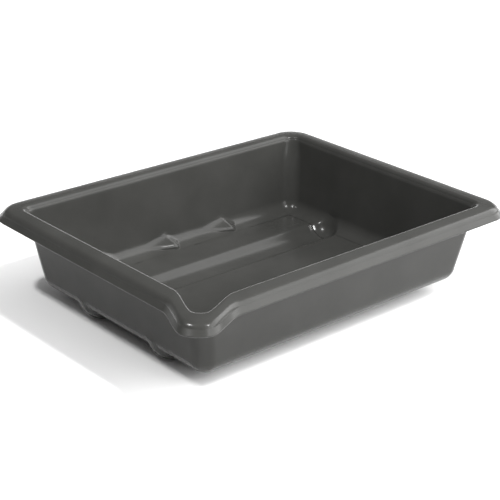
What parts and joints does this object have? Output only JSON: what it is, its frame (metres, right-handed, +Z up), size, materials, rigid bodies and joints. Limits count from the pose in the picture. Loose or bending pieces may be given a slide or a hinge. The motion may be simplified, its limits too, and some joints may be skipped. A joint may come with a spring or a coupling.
{
  "type": "developing tray",
  "caption": "Shallow rectangular darkroom tray with a flared rim, a pouring lip at one corner, drain channels in the floor and saw-tooth wedges along the back wall.",
  "frame": {"origin": "on the surface the tray stands on, under the middle of its whole outline with the pouring lip", "axes": "+X along the long side, away from the pouring lip; +Y towards the wall with the saw-tooth wedges; +Z up"},
  "size_m": [0.2585, 0.2055, 0.059],
  "materials": {
    "tray_plastic": "satin-gloss moulded surface, dark grey right through, with a very fine texture"
  },
  "bodies": {
    "root": {"front_floor": "tray_plastic", "middle_floor": "tray_plastic", "back_floor": "tray_plastic", "front_channel": "tray_plastic", "back_channel": "tray_plastic", "front_wall": "tray_plastic", "back_wall": "tray_plastic", "left_wall": "tray_plastic", "right_wall": "tray_plastic", "pouring_corner": "tray_plastic", "front_right_corner": "tray_plastic", "back_right_corner": "tray_plastic", "back_left_corner": "tray_plastic", "front_rim": "tray_plastic", "back_rim": "tray_plastic", "left_rim": "tray_plastic", "right_rim": "tray_plastic", "pouring_lip": "tray_plastic", "front_right_rim_corner": "tray_plastic", "back_right_rim_corner": "tray_plastic", "back_left_rim_corner": "tray_plastic", "left_tooth": "tray_plastic", "middle_tooth": "tray_plastic", "right_tooth": "tray_plastic"}
  },
  "joints": []
}
